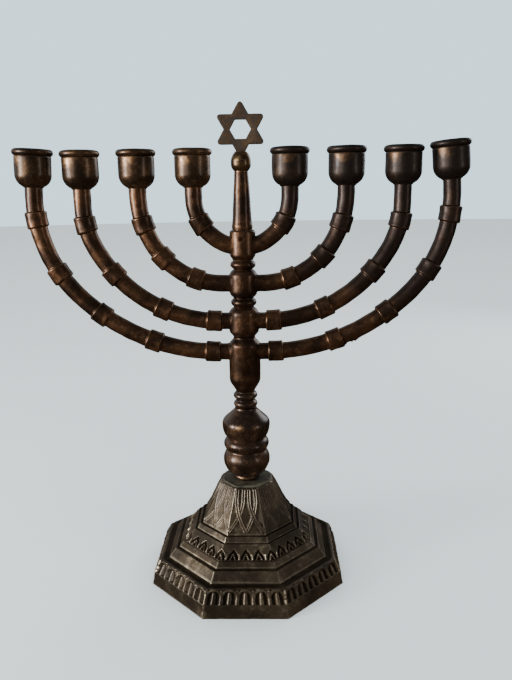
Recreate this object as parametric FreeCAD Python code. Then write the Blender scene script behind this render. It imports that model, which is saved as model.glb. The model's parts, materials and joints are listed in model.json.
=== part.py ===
import FreeCAD, Part
import math
import os

# Eight-cup branched candle holder on a hollow octagonal foot, in millimetres.
# Origin: centre of the foot's underside. +Z is up, the arms spread along X, -Y is the front.
# Every turned stem piece is threaded on one tie rod. The spire screws down on the rod's top
# end and a nut draws it up from inside the foot. Each pair of arms turns about the rod on
# its own hub.

# ---- tie rod and its fits --------------------------------------------------------------
ROD_R = 2.5
BORE_R = ROD_R + 0.05
HUB_GAP = 0.1
ROD_BOTTOM_Z = 42.0
ROD_TOP_Z = 206.0

# ---- octagonal foot: (across flats, height) from the ground up --------------------------
FOOT_TIERS = [
    (106.0, 0.0),
    (103.7, 7.0),
    (96.6, 13.9),
    (87.0, 14.3),
    (80.2, 18.9),
    (75.6, 19.5),
    (71.2, 21.8),
    (69.8, 22.1),
    (59.0, 28.3),
    (56.0, 28.6),
    (53.2, 31.0),
    (50.0, 31.4),
    (29.0, 52.6),
]
FOOT_CAVITY = [(98.0, 0.0), (88.0, 10.5), (42.0, 27.5), (22.0, 49.0)]
FOOT_CEILING_Z = FOOT_CAVITY[-1][1]
FOOT_TOP_Z = FOOT_TIERS[-1][1]
PLATE_R = 14.2
PLATE_TOP_Z = 54.2
WASHER_R = 7.5
WASHER_T = 1.2
NUT_FLATS = 8.0
NUT_T = 4.0

# ---- stem stack: heights where one piece ends and the next begins ------------------------
KNOP_Z = 57.2
KNOP_RING_Z = 71.7
BULB_Z = 78.3
NECK_Z = 96.0
OUTER_HUB_Z = 105.4
THIRD_HUB_Z = 136.0
LOWER_SPACER_Z = 152.6
SECOND_HUB_Z = 157.6
UPPER_SPACER_Z = 172.7
INNER_HUB_Z = 177.8
SPIRE_Z = 193.5
BALL_Z = 223.2
BALL_TOP_Z = 233.0

# ---- star finial ----------------------------------------------------------------------
STAR_Z = 244.0
STAR_R = 14.8
STAR_TIP_FILLET = 1.6
STAR_HOLE_R = 5.4
STAR_T = 2.6
BALL_PEG_R = 1.6
BALL_PEG_LENGTH = 4.5

# ---- arms, sleeves and cups ---------------------------------------------------------------
ARM_R = 4.53
ARM_SPIGOT_R = 2.8
ARM_SPIGOT_X = 4.0
CUP_PEG_R = 2.5
CUP_PEG_LENGTH = 3.0
SLEEVE_R = 5.7
SLEEVE_LENGTH = 8.2
SLEEVE_EDGE = 0.6
CUP_Z = 215.3

# Each arm leaves its hub level at height z, runs straight to x, turns up through `sweep`
# degrees at the lower radius and on to upright at the upper radius. The sleeves are
# placed by their distance along the arm from the stem's axis. The outer pair's ends lean
# in a little, and carry their cups a little higher (left value, right value).
ARM_PAIRS = {
    "inner": dict(z=185.0, x=2.5, lower=18.1, sweep=26.2, upper=26.1, sleeves=[26.0],
                  lean=(0.0, 0.0), lift=(0.0, 0.0)),
    "second": dict(z=165.3, x=10.4, lower=42.9, sweep=65.1, upper=52.0,
                   sleeves=[25.3, 46.0, 66.3], lean=(0.0, 0.0), lift=(0.0, 0.0)),
    "third": dict(z=144.9, x=12.0, lower=74.8, sweep=61.1, upper=46.6,
                  sleeves=[16.0, 44.2, 76.5, 106.4], lean=(0.0, 0.0), lift=(0.0, 0.0)),
    "outer": dict(z=127.9, x=13.1, lower=105.9, sweep=45.3, upper=70.2,
                  sleeves=[17.0, 49.7, 81.3, 112.5, 143.1], lean=(2.6, 4.8), lift=(1.2, 2.2)),
}

# ---- cup: radii and heights above its own underside ---------------------------------------
CUP_FOOT_R = 4.7
CUP_BODY_R = 9.3
CUP_SHOULDER_H = 6.9
CUP_RIM_R = 8.6
CUP_RIM_SECTION_R = 1.65
CUP_RIM_H = 17.85
CANDLE_R = 6.75
CANDLE_FLOOR_H = 4.8

ORIGIN = FreeCAD.Vector(0, 0, 0)
X_AXIS = FreeCAD.Vector(1, 0, 0)
Y_AXIS = FreeCAD.Vector(0, 1, 0)
Z_AXIS = FreeCAD.Vector(0, 0, 1)


def at(x, z, y=0.0):
    return FreeCAD.Vector(x, y, z)


def outline_face(start, steps):
    """Face in the XZ plane, from a start point and steps of lines (r, z) or arcs
    (through_r, through_z, end_r, end_z), closed back to the start."""
    edges = []
    here = at(*start)
    for step in steps:
        there = at(*step[-2:])
        if len(step) == 4:
            edges.append(Part.Arc(here, at(*step[:2]), there).toShape())
        else:
            edges.append(Part.LineSegment(here, there).toShape())
        here = there
    edges.append(Part.LineSegment(here, at(*start)).toShape())
    return Part.Face(Part.Wire(edges))


def turned(bottom, steps):
    """Solid of revolution about the stem's axis. bottom is the first outer point; steps
    run up the outside, and flat end faces close it to the axis."""
    top_z = steps[-1][-1]
    face = outline_face((0, bottom[1]), [bottom] + steps + [(0, top_z)])
    return face.revolve(ORIGIN, Z_AXIS, 360)


def rod_hole(bottom_z, top_z, radius=BORE_R):
    return Part.makeCylinder(radius, top_z - bottom_z, at(0, bottom_z))


def bored(solid):
    box = solid.BoundBox
    return solid.cut(rod_hole(box.ZMin - 1, box.ZMax + 1))


def octagon(flats, z):
    """Regular eight-sided wire with a flat facing the front."""
    corner_r = flats / 2 / math.cos(math.pi / 8)
    points = []
    for k in range(9):
        angle = math.pi / 8 + k * math.pi / 4
        points.append(at(corner_r * math.cos(angle), z, corner_r * math.sin(angle)))
    return Part.makePolygon(points)


def tiered(levels):
    return Part.makeLoft([octagon(flats, z) for flats, z in levels], True, True)


# ---- foot -------------------------------------------------------------------------------
def base_casting():
    shell = tiered(FOOT_TIERS).cut(tiered(FOOT_CAVITY))
    return shell.cut(rod_hole(FOOT_CEILING_Z - 1, FOOT_TOP_Z + 1))


def base_top_plate():
    disc = Part.makeCylinder(PLATE_R, PLATE_TOP_Z - FOOT_TOP_Z, at(0, FOOT_TOP_Z))
    rim = [edge for edge in disc.Edges if edge.BoundBox.ZMin > PLATE_TOP_Z - 0.1]
    return bored(disc.makeFillet(0.5, rim))


def base_washer():
    return bored(Part.makeCylinder(WASHER_R, WASHER_T, at(0, FOOT_CEILING_Z - WASHER_T)))


def base_nut():
    top_z = FOOT_CEILING_Z - WASHER_T
    corner_r = NUT_FLATS / math.sqrt(3)
    points = []
    for k in range(7):
        angle = k * math.pi / 3
        points.append(at(corner_r * math.cos(angle), top_z - NUT_T, corner_r * math.sin(angle)))
    prism = Part.Face(Part.makePolygon(points)).extrude(at(0, NUT_T))
    return prism.cut(rod_hole(top_z - NUT_T - 1, top_z + 1, ROD_R))


def tie_rod():
    rod = Part.makeCylinder(ROD_R, ROD_TOP_Z - ROD_BOTTOM_Z, at(0, ROD_BOTTOM_Z))
    return rod.makeChamfer(0.5, [edge for edge in rod.Edges if edge.Closed])


# ---- turned stem pieces -------------------------------------------------------------------
def foot_collar():
    return bored(turned((6.2, PLATE_TOP_Z), [(7.0, 55.7, 6.2, KNOP_Z)]))


def lower_knop():
    steps = [(10.2, 57.5, 11.1, 58.6), (13.0, 64.8, 10.8, KNOP_RING_Z)]
    return bored(turned((8.6, KNOP_Z), steps))


def knop_ring():
    return bored(turned((10.8, KNOP_RING_Z), [(12.15, 75.2, 10.8, BULB_Z)]))


def pear_bulb():
    steps = [
        (12.4, 81.9, 12.9, 86.2),
        (12.7, 88.0, 11.9, 89.7),
        (9.2, 92.6, 6.0, 95.5),
        (5.5, NECK_Z),
    ]
    return bored(turned((10.8, BULB_Z), steps))


def neck_rings():
    steps = [
        (6.4, 98.2, 5.0, 100.4),
        (5.0, 100.9),
        (6.45, 103.0, 5.0, 105.1),
        (4.95, OUTER_HUB_Z),
    ]
    return bored(turned((5.5, NECK_Z), steps))


def lower_spacer_ring():
    middle_z = (LOWER_SPACER_Z + SECOND_HUB_Z) / 2
    return bored(turned((5.55, LOWER_SPACER_Z), [(6.75, middle_z, 5.55, SECOND_HUB_Z)]))


def upper_spacer_ring():
    steps = [(5.1, 173.2), (6.55, 175.4, 5.15, 177.6), (5.15, INNER_HUB_Z)]
    return bored(turned((5.1, UPPER_SPACER_Z), steps))


def spire():
    steps = [(5.1, 195.0, 4.9, 197.0), (3.3, 221.5), (3.3, BALL_Z)]
    body = turned((5.6, SPIRE_Z), steps)
    body = body.cut(rod_hole(SPIRE_Z - 1, ROD_TOP_Z, ROD_R))
    peg = Part.makeCylinder(BALL_PEG_R, BALL_PEG_LENGTH + 1, at(0, BALL_Z - 1))
    return body.fuse(peg).removeSplitter()


# ---- finial -------------------------------------------------------------------------------
def star_solid():
    """Six-pointed star standing in the XZ plane with a six-sided hole."""
    notch_r = STAR_R / math.sqrt(3)
    outline = []
    hole = []
    for k in range(12):
        radius = STAR_R if k % 2 == 0 else notch_r
        angle = math.pi / 2 + k * math.pi / 6
        outline.append(at(radius * math.cos(angle), STAR_Z + radius * math.sin(angle), -STAR_T / 2))
    for k in range(6):
        angle = k * math.pi / 3
        hole.append(at(STAR_HOLE_R * math.cos(angle), STAR_Z + STAR_HOLE_R * math.sin(angle), -STAR_T / 2))
    plate = Part.Face(Part.makePolygon(outline + outline[:1])).extrude(Y_AXIS * STAR_T)
    tips = []
    for edge in plate.Edges:
        middle = edge.CenterOfMass
        if abs(middle.y) < 0.01 and math.hypot(middle.x, middle.z - STAR_Z) > STAR_R - 0.5:
            tips.append(edge)
    plate = plate.makeFillet(STAR_TIP_FILLET, tips)
    window = Part.Face(Part.makePolygon(hole + hole[:1])).extrude(Y_AXIS * STAR_T)
    return plate.cut(window)


def finial_ball():
    ball = turned((3.3, BALL_Z), [(4.35, 224.4, 4.88, 227.0), (4.6, 230.1, 2.9, BALL_TOP_Z)])
    peg_hole = Part.makeCylinder(BALL_PEG_R, BALL_PEG_LENGTH + 1, at(0, BALL_Z - 1))
    return ball.cut(peg_hole).cut(star_solid())


# ---- hubs -----------------------------------------------------------------------------------
def hub_bodies():
    """Outer form of each hub before it is bored, with a running gap at both ends."""
    gap = HUB_GAP / 2
    outer = turned((4.95, OUTER_HUB_Z + gap), [
        (7.4, 109.9), (8.15, 111.5, 8.34, 113.4), (8.34, 131.6),
        (8.25, 132.2, 7.9, 132.9), (5.75, THIRD_HUB_Z - gap)])
    third = turned((5.75, THIRD_HUB_Z + gap), [
        (7.4, 138.6), (7.7, 139.3, 7.75, 140.0), (7.75, 149.0),
        (7.2, 150.6, 5.6, LOWER_SPACER_Z - gap)])
    second = turned((5.6, SECOND_HUB_Z + gap), [
        (6.7, 159.1, 7.25, 161.0), (7.25, 169.0), (6.7, 170.9, 5.3, 172.2),
        (5.1, UPPER_SPACER_Z - gap)])
    inner = turned((5.15, INNER_HUB_Z + gap), [
        (6.2, 179.5), (6.45, 180.1, 6.5, 180.8), (6.45, 191.8),
        (6.3, 192.8, 5.7, SPIRE_Z - gap)])
    return {"outer": outer, "third": third, "second": second, "inner": inner}


def spigot_rod(pair):
    """Round rod lying across the stem where both arms' spigots sit."""
    length = 2 * ARM_PAIRS[pair]["x"] + 40
    return Part.makeCylinder(ARM_SPIGOT_R, length, at(-length / 2, ARM_PAIRS[pair]["z"]), X_AXIS)


def core(pair):
    """The hub's middle, left solid around the tie rod between the two spigots."""
    z = ARM_PAIRS[pair]["z"]
    return Part.makeCylinder(ARM_SPIGOT_X, 4 * ARM_SPIGOT_R, at(0, z - 2 * ARM_SPIGOT_R))


def hub(pair, body):
    return bored(body.cut(spigot_rod(pair).cut(core(pair))))


# ---- arms -----------------------------------------------------------------------------------
def arm_bends(pair):
    """The arm's two bends in its own plane: (centre, radius, first angle, last angle)."""
    arm = ARM_PAIRS[pair]
    sweep = math.radians(arm["sweep"])
    first_centre = at(arm["x"], arm["z"] + arm["lower"])
    inset = arm["lower"] - arm["upper"]
    second_centre = first_centre + at(inset * math.sin(sweep), -inset * math.cos(sweep))
    return first_centre, second_centre, sweep


def arm_point(pair, distance):
    """Place on the arm's centre line and its upward angle, by distance from the axis."""
    arm = ARM_PAIRS[pair]
    first_centre, second_centre, sweep = arm_bends(pair)
    bend_start = distance - arm["x"]
    if bend_start <= 0:
        return at(distance, arm["z"]), 0.0
    angle = bend_start / arm["lower"]
    if angle <= sweep:
        return on_bend(first_centre, arm["lower"], angle), angle
    angle = sweep + (bend_start - arm["lower"] * sweep) / arm["upper"]
    return on_bend(second_centre, arm["upper"], angle), angle


def on_bend(centre, radius, angle):
    return centre + at(radius * math.sin(angle), -radius * math.cos(angle))


def arm_end(pair, side):
    """Last point of the arm, under its cup, and the way the cup points."""
    arm = ARM_PAIRS[pair]
    which = 0 if side < 0 else 1
    second_centre = arm_bends(pair)[1]
    angle = math.radians(90 + arm["lean"][which])
    bend_top = on_bend(second_centre, arm["upper"], angle)
    direction = at(math.cos(angle), math.sin(angle))
    run = (CUP_Z + arm["lift"][which] - bend_top.z) / direction.z
    return bend_top, bend_top + direction * run, direction, run


def bend_solid(centre, radius, first, last):
    """Stretch of round bar along one bend, from one upward angle to another."""
    start = on_bend(centre, radius, first)
    along = at(math.cos(first), math.sin(first))
    section = Part.Face(Part.Wire(Part.makeCircle(ARM_R, start, along)))
    return section.revolve(centre, -Y_AXIS, math.degrees(last - first))


def arm(pair, side, hub_body):
    data = ARM_PAIRS[pair]
    first_centre, second_centre, sweep = arm_bends(pair)
    bend_top, end, direction, run = arm_end(pair, side)
    lean = math.radians(data["lean"][0 if side < 0 else 1])
    bar = Part.makeCylinder(ARM_R, data["x"], at(0, data["z"]), X_AXIS)
    bar = bar.fuse(bend_solid(first_centre, data["lower"], 0.0, sweep))
    bar = bar.fuse(bend_solid(second_centre, data["upper"], sweep, math.pi / 2 + lean))
    bar = bar.fuse(Part.makeCylinder(ARM_R, run, bend_top, direction))
    bar = bar.fuse(Part.makeCylinder(CUP_PEG_R, CUP_PEG_LENGTH + 1, end - direction, direction))
    bar = bar.removeSplitter().cut(hub_body)
    reach = hub_body.BoundBox.XMax + 1
    spigot = Part.makeCylinder(ARM_SPIGOT_R, reach, at(0, data["z"]), X_AXIS)
    spigot = spigot.cut(core(pair)).common(hub_body)
    return one_side(bar.fuse(spigot).removeSplitter(), side)


def one_side(shape, side):
    return shape if side > 0 else shape.mirror(ORIGIN, X_AXIS)


def sleeves(pair, side):
    """Short straight collars on one arm, each a ring of its own."""
    rings = []
    for distance in ARM_PAIRS[pair]["sleeves"]:
        place, angle = arm_point(pair, distance)
        along = at(math.cos(angle), math.sin(angle))
        collar = Part.makeCylinder(SLEEVE_R, SLEEVE_LENGTH, place - along * (SLEEVE_LENGTH / 2), along)
        collar = collar.makeFillet(SLEEVE_EDGE, [edge for edge in collar.Edges if edge.Closed])
        rings.append(one_side(collar.cut(bar_near(pair, distance)), side))
    return Part.makeCompound(rings)


def bar_near(pair, distance):
    """The stretch of arm bar that passes through a sleeve at this distance."""
    arm_data = ARM_PAIRS[pair]
    first_centre, second_centre, sweep = arm_bends(pair)
    bends = bend_solid(first_centre, arm_data["lower"], 0.0, sweep)
    bends = bends.fuse(bend_solid(second_centre, arm_data["upper"], sweep, math.pi / 2))
    level = Part.makeCylinder(ARM_R, arm_data["x"], at(0, arm_data["z"]), X_AXIS)
    return level.fuse(bends)


def cup(pair, side):
    """Candle cup standing on the arm's end, with a round lip and a bored socket."""
    rim_top = CUP_RIM_H + CUP_RIM_SECTION_R
    rim_join = CUP_RIM_H - math.sqrt(CUP_RIM_SECTION_R ** 2 - (CUP_BODY_R - CUP_RIM_R) ** 2)
    outside = [
        (CUP_FOOT_R, 0),
        (7.75, 2.4, CUP_BODY_R, CUP_SHOULDER_H),
        (CUP_BODY_R, rim_join),
        (CUP_RIM_R + CUP_RIM_SECTION_R, CUP_RIM_H, CUP_RIM_R, rim_top),
    ]
    inside = [
        (7.2, 18.8, CANDLE_R, 17.4),
        (CANDLE_R, CANDLE_FLOOR_H),
        (0, CANDLE_FLOOR_H),
    ]
    body = outline_face((0, 0), outside + inside).revolve(ORIGIN, Z_AXIS, 360)
    peg_hole = Part.makeCylinder(CUP_PEG_R, CUP_PEG_LENGTH + 1, at(0, -1))
    body = body.cut(peg_hole)
    end, direction = arm_end(pair, side)[1:3]
    turn = FreeCAD.Rotation(Z_AXIS, direction)
    body.Placement = FreeCAD.Placement(end, turn)
    return one_side(body, side)


# ---- all pieces -------------------------------------------------------------------------------
def pieces():
    made = {
        "base_casting": base_casting(),
        "base_top_plate": base_top_plate(),
        "base_washer": base_washer(),
        "base_nut": base_nut(),
        "tie_rod": tie_rod(),
        "foot_collar": foot_collar(),
        "lower_knop": lower_knop(),
        "knop_ring": knop_ring(),
        "pear_bulb": pear_bulb(),
        "neck_rings": neck_rings(),
        "lower_spacer_ring": lower_spacer_ring(),
        "upper_spacer_ring": upper_spacer_ring(),
        "spire": spire(),
        "finial_ball": finial_ball(),
        "star": star_solid(),
    }
    for pair, hub_body in hub_bodies().items():
        made[pair + "_hub"] = hub(pair, hub_body)
        for side, side_name in ((-1, "left"), (1, "right")):
            name = pair + "_" + side_name
            made[name + "_arm"] = arm(pair, side, hub_body)
            made[name + "_sleeves"] = sleeves(pair, side)
            made[name + "_cup"] = cup(pair, side)
    return made


os.makedirs("parts", exist_ok=True)
for node, shape in pieces().items():
    shape.exportStep(os.path.join("parts", node + ".step"))
    print(node, len(shape.Solids), round(shape.Volume, 1), shape.isValid())
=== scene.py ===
import math
from collections import namedtuple

import bmesh
import bpy
from mathutils import Matrix, Vector, noise
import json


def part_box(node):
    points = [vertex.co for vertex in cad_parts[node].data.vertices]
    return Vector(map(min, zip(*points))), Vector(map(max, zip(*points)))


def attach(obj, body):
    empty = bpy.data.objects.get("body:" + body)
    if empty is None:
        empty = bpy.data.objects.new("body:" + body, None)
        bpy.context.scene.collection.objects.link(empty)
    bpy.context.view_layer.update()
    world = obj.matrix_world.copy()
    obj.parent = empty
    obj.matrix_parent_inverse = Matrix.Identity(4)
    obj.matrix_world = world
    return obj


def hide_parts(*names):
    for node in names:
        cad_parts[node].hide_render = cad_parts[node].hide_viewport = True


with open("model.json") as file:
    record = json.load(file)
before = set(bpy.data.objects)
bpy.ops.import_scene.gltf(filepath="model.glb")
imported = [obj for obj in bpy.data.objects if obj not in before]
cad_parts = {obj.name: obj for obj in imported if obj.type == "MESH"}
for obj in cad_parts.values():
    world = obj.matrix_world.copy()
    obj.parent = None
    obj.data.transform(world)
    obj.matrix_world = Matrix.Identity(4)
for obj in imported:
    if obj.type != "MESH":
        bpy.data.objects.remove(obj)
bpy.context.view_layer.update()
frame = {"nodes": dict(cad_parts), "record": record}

# An eight-cup branched candle holder in patinated bronze on a cast octagonal foot.
# Lengths are metres. Sizes given in the tables below are millimetres, taken through MM.
MM = 0.001
WELD = 0.00002
PAIRS = ("inner", "second", "third", "outer")
SIDES = {"left": -1, "right": 1}
UP = Vector((0, 0, 1))
QUARTER = math.pi / 2
# Seeds of the slow unevenness: the first arm's, and what its sleeves and cup add to it.
FIRST_ARM_SEED, SLEEVES_SEED, CUP_SEED = 20, 20, 40

# ---- sizes shared with the frame ---------------------------------------------------------
ROD_BORE_R = 2.6
ARM_R = 4.53
SLEEVE_R = 5.7
SLEEVE_LENGTH = 8.2

# Outline of each turned stem piece, above its own underside: first outer radius, then lines
# (radius, height) and arcs (through radius, through height, end radius, end height).
TURNINGS = {
    "foot_collar": (6.2, [(7.2, 1.5, 6.2, 3.0)]),
    "lower_knop": (7.4, [(9.9, 1.4, 11.8, 4.4), (12.9, 9.0, 10.5, 14.5)]),
    "knop_ring": (10.4, [(11.3, 0.4, 12.0, 1.7), (12.5, 3.5, 12.0, 5.1), (11.3, 6.1, 10.4, 6.6)]),
    "pear_bulb": (10.2, [(12.3, 3.4, 13.0, 7.0), (12.95, 9.6, 12.1, 11.3),
                        (5.7, 17.1), (5.3, 17.7)]),
    "neck_rings": (4.8, [(5.1, 0.5), (6.45, 2.3, 5.1, 4.1), (4.4, 4.7), (5.1, 5.3),
                         (6.5, 7.1, 5.1, 8.9), (4.4, 9.4)]),
    "lower_spacer_ring": (4.8, [(5.3, 0.6), (6.75, 2.5, 5.3, 4.4), (4.8, 5.0)]),
    "upper_spacer_ring": (4.5, [(5.1, 0.7), (6.6, 2.6, 5.1, 4.5), (4.5, 5.1)]),
    "spire": (5.0, [(5.2, 1.5, 4.95, 3.5), (3.5, 28.0), (3.3, 29.7)]),
    "finial_ball": (3.1, [(4.45, 1.4, 4.95, 4.0), (4.55, 7.1, 2.7, 9.8)]),
    "outer_hub": (4.7, [(7.4, 4.45), (8.15, 6.05, 8.4, 7.95), (8.4, 26.1),
                        (8.2, 27.0, 7.7, 27.9), (5.2, 30.5)]),
    "third_hub": (5.2, [(7.2, 2.2), (7.75, 3.1, 7.85, 4.1), (7.85, 12.7),
                        (7.3, 14.6, 5.0, 16.5)]),
    "second_hub": (5.0, [(6.7, 1.45, 7.3, 3.35), (7.3, 11.3), (6.8, 13.3, 5.0, 15.0)]),
    "inner_hub": (4.8, [(6.2, 1.5), (6.5, 2.1, 6.6, 2.9), (6.6, 13.9),
                        (6.45, 15.0, 5.4, 15.6)]),
}

# An arm leaves its hub at a level height, runs straight, and turns up through the lower
# bend's radius and sweep and the upper bend's radius. The sleeves are distances along it,
# and the lean is that of its end, in degrees, on the left and on the right.
Arm = namedtuple("Arm", "level run lower sweep upper sleeves lean")
ARMS = {
    "inner": Arm(185.0, 2.5, 18.1, 26.2, 26.1, [26.0], {-1: 0.0, 1: 0.0}),
    "second": Arm(165.3, 10.4, 42.9, 65.1, 52.0, [25.3, 46.0, 66.3], {-1: 0.0, 1: 0.0}),
    "third": Arm(144.9, 12.0, 74.8, 61.1, 46.6, [16.0, 44.2, 76.5, 106.4], {-1: 0.0, 1: 0.0}),
    "outer": Arm(127.9, 13.1, 105.9, 45.3, 70.2, [17.0, 49.7, 81.3, 112.5, 143.1],
                 {-1: 2.6, 1: 4.8}),
}


# ---- mesh helpers ----------------------------------------------------------------------------
def arc_through(start, middle, end, spacing):
    """Points after start along the arc through three (radius, height) points."""
    ax, ay = start
    bx, by = middle
    cx, cy = end
    d = 2 * (ax * (by - cy) + bx * (cy - ay) + cx * (ay - by))
    a2, b2, c2 = ax * ax + ay * ay, bx * bx + by * by, cx * cx + cy * cy
    ux = (a2 * (by - cy) + b2 * (cy - ay) + c2 * (ay - by)) / d
    uy = (a2 * (cx - bx) + b2 * (ax - cx) + c2 * (bx - ax)) / d
    radius = math.hypot(ax - ux, ay - uy)
    first = math.atan2(ay - uy, ax - ux)
    half = math.remainder(math.atan2(by - uy, bx - ux) - first, math.tau)
    rest = math.remainder(math.atan2(cy - uy, cx - ux) - first - half, math.tau)
    turn = half + rest
    count = max(3, round(radius * abs(turn) / spacing))
    angles = [first + turn * (k + 1) / count for k in range(count)]
    return [(ux + radius * math.cos(a), uy + radius * math.sin(a)) for a in angles]


def outline(first, steps, spacing=0.45):
    """(radius, height) points in millimetres along lines and arcs, evenly spaced."""
    points = [first]
    for step in steps:
        here = points[-1]
        if len(step) == 4:
            points += arc_through(here, step[:2], step[2:], spacing)
            continue
        count = max(1, round(math.dist(here, step) / (2 * spacing)))
        for k in range(1, count + 1):
            t = k / count
            points.append((here[0] + (step[0] - here[0]) * t, here[1] + (step[1] - here[1]) * t))
    return points


def softened(points, passes):
    """Rounds an outline as casting and handling do. Both ends run out level with the stem,
    so that each joint between two pieces becomes a small cove."""
    for _ in range(passes):
        before, after = points[1:2] + points[:-1], points[1:] + points[-2:-1]
        radii = [(a[0] + 2 * p[0] + b[0]) / 4 for a, p, b in zip(before, points, after)]
        heights = [(a[1] + 2 * p[1] + b[1]) / 4 for a, p, b in zip(before, points, after)]
        heights[0], heights[-1] = points[0][1], points[-1][1]
        points = list(zip(radii, heights))
    return points


def spun(bm, points, steps=96, base=0.0):
    """Spins a closed (radius, height) outline in millimetres about the Z axis."""
    verts = [bm.verts.new((r * MM, 0, base + h * MM)) for r, h in points]
    edges = [bm.edges.new((verts[k - 1], verts[k])) for k in range(len(verts))]
    bmesh.ops.spin(bm, geom=verts + edges, cent=(0, 0, 0), axis=UP,
                   angle=math.tau, steps=steps, use_merge=True)
    bmesh.ops.remove_doubles(bm, verts=bm.verts, dist=WELD / 10)


def new_verts(made):
    return [item for item in made if isinstance(item, bmesh.types.BMVert)]


def limited(x, low, high):
    return max(low, min(high, x))


SEED_STEP = Vector((3.1, 1.7, 2.3))


def uneven(bm, depth, size, seed):
    """Moves the surface in and out by a slow noise, as a casting is never quite true."""
    shift = seed * SEED_STEP
    bm.normal_update()
    for vert in bm.verts:
        push = noise.noise(vert.co / size + shift)
        vert.co += vert.normal * (depth * push)


def mark_wear_and_shading(bm, reach):
    """Stores how far each point stands out of the surface around it (1) or lies in a recess (-1):
    the first is worn bright and the second dark, with dirt and painted shade; values given by
    place, worn spots, painted highlights and painted shade, are added on top."""
    bm.normal_update()
    layer = bm.verts.layers.float.new("wear_and_shading")
    placed_wear_and_shading = bm.verts.layers.float.get("placed_wear_and_shading")
    raw = {}
    for vert in bm.verts:
        total = 0.0
        for edge in vert.link_edges:
            step = vert.co - edge.other_vert(vert).co
            total += vert.normal.dot(step) / max(step.length_squared, 1e-10)
        bend = total / max(len(vert.link_edges), 1)
        raw[vert] = limited(bend * reach, -1.0, 1.0)
    for vert in bm.verts:
        around = [raw[edge.other_vert(vert)] for edge in vert.link_edges]
        vert[layer] = 0.5 * raw[vert] + 0.5 * sum(around) / max(len(around), 1)
        if placed_wear_and_shading:
            # Adds the values given by place: worn spots, painted highlights and painted shade.
            vert[layer] += vert[placed_wear_and_shading]


def placed_wear_and_shading_layer(bm):
    """Values by place, worn spots, painted highlights and painted shade, on top of what the shape
    itself gives.
    """
    return bm.verts.layers.float.get("placed_wear_and_shading") or bm.verts.layers.float.new("placed_wear_and_shading")


def add_wear_and_shading(bm, amount):
    """Adds worn spots and painted highlights by place: amount is a function of a point in the
    piece's own lengths.
    """
    layer = placed_wear_and_shading_layer(bm)
    for vert in bm.verts:
        vert[layer] += amount(vert.co)


def finished(bm, name, body, material, nodes, sharp=50, reach=0.0008):
    """Makes the piece's object: normals outward, smooth shaded, riding on its body."""
    bmesh.ops.recalc_face_normals(bm, faces=bm.faces)
    mark_wear_and_shading(bm, reach)
    mesh = bpy.data.meshes.new(name)
    bm.to_mesh(mesh)
    bm.free()
    mesh.shade_smooth()
    mesh.set_sharp_from_angle(angle=math.radians(sharp))
    mesh.materials.append(material)
    piece = bpy.data.objects.new(name, mesh)
    bpy.context.collection.objects.link(piece)
    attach(piece, body)
    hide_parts(*nodes)
    return piece


def body_of_node(node):
    for body, nodes in frame["record"]["behaviour"]["bodies"].items():
        if node in nodes:
            return body


# ---- shader helpers --------------------------------------------------------------------------
# A Mix node's colour sockets share their names with its number sockets, so they go by place.
MIX_FIRST, MIX_SECOND, MIX_RESULT = 6, 7, 2
NOISE_ROUGHNESS = 0.55


class Value:
    """A shader number. Arithmetic on it adds Math nodes."""

    def __init__(self, tree, socket):
        self.tree = tree
        self.socket = socket

    def math(self, operation, *others):
        node = self.tree.nodes.new("ShaderNodeMath")
        node.operation = operation
        for slot, item in zip(node.inputs, others):
            if isinstance(item, Value):
                self.tree.links.new(item.socket, slot)
            else:
                slot.default_value = item
        return Value(self.tree, node.outputs[0])

    def __add__(self, other):
        return self.math("ADD", self, other)

    def __sub__(self, other):
        return self.math("SUBTRACT", self, other)

    def __rsub__(self, other):
        return self.math("SUBTRACT", other, self)

    def __mul__(self, other):
        return self.math("MULTIPLY", self, other)

    __radd__ = __add__
    __rmul__ = __mul__

    def clamped(self):
        return self.math("MINIMUM", self.math("MAXIMUM", self, 0.0), 1.0)


class Nodes:
    """A tree whose nodes are all made through one method."""

    def __init__(self, tree):
        self.tree = tree

    def node(self, kind, settings=None, **sockets):
        node = self.tree.nodes.new(kind)
        for key, setting in (settings or {}).items():
            setattr(node, key, setting)
        for key, item in sockets.items():
            self.feed(node.inputs[key.replace("_", " ")], item)
        return node

    def feed(self, socket, item):
        if isinstance(item, Value):
            self.tree.links.new(item.socket, socket)
        elif isinstance(item, bpy.types.NodeSocket):
            self.tree.links.new(item, socket)
        else:
            socket.default_value = item

    def value(self, node, output):
        return Value(self.tree, node.outputs[output])

    def mix(self, factor, first, second):
        made = self.node("ShaderNodeMix", {"data_type": "RGBA"})
        self.feed(made.inputs["Factor"], factor)
        self.feed(made.inputs[MIX_FIRST], first)
        self.feed(made.inputs[MIX_SECOND], second)
        return made.outputs[MIX_RESULT]


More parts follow.
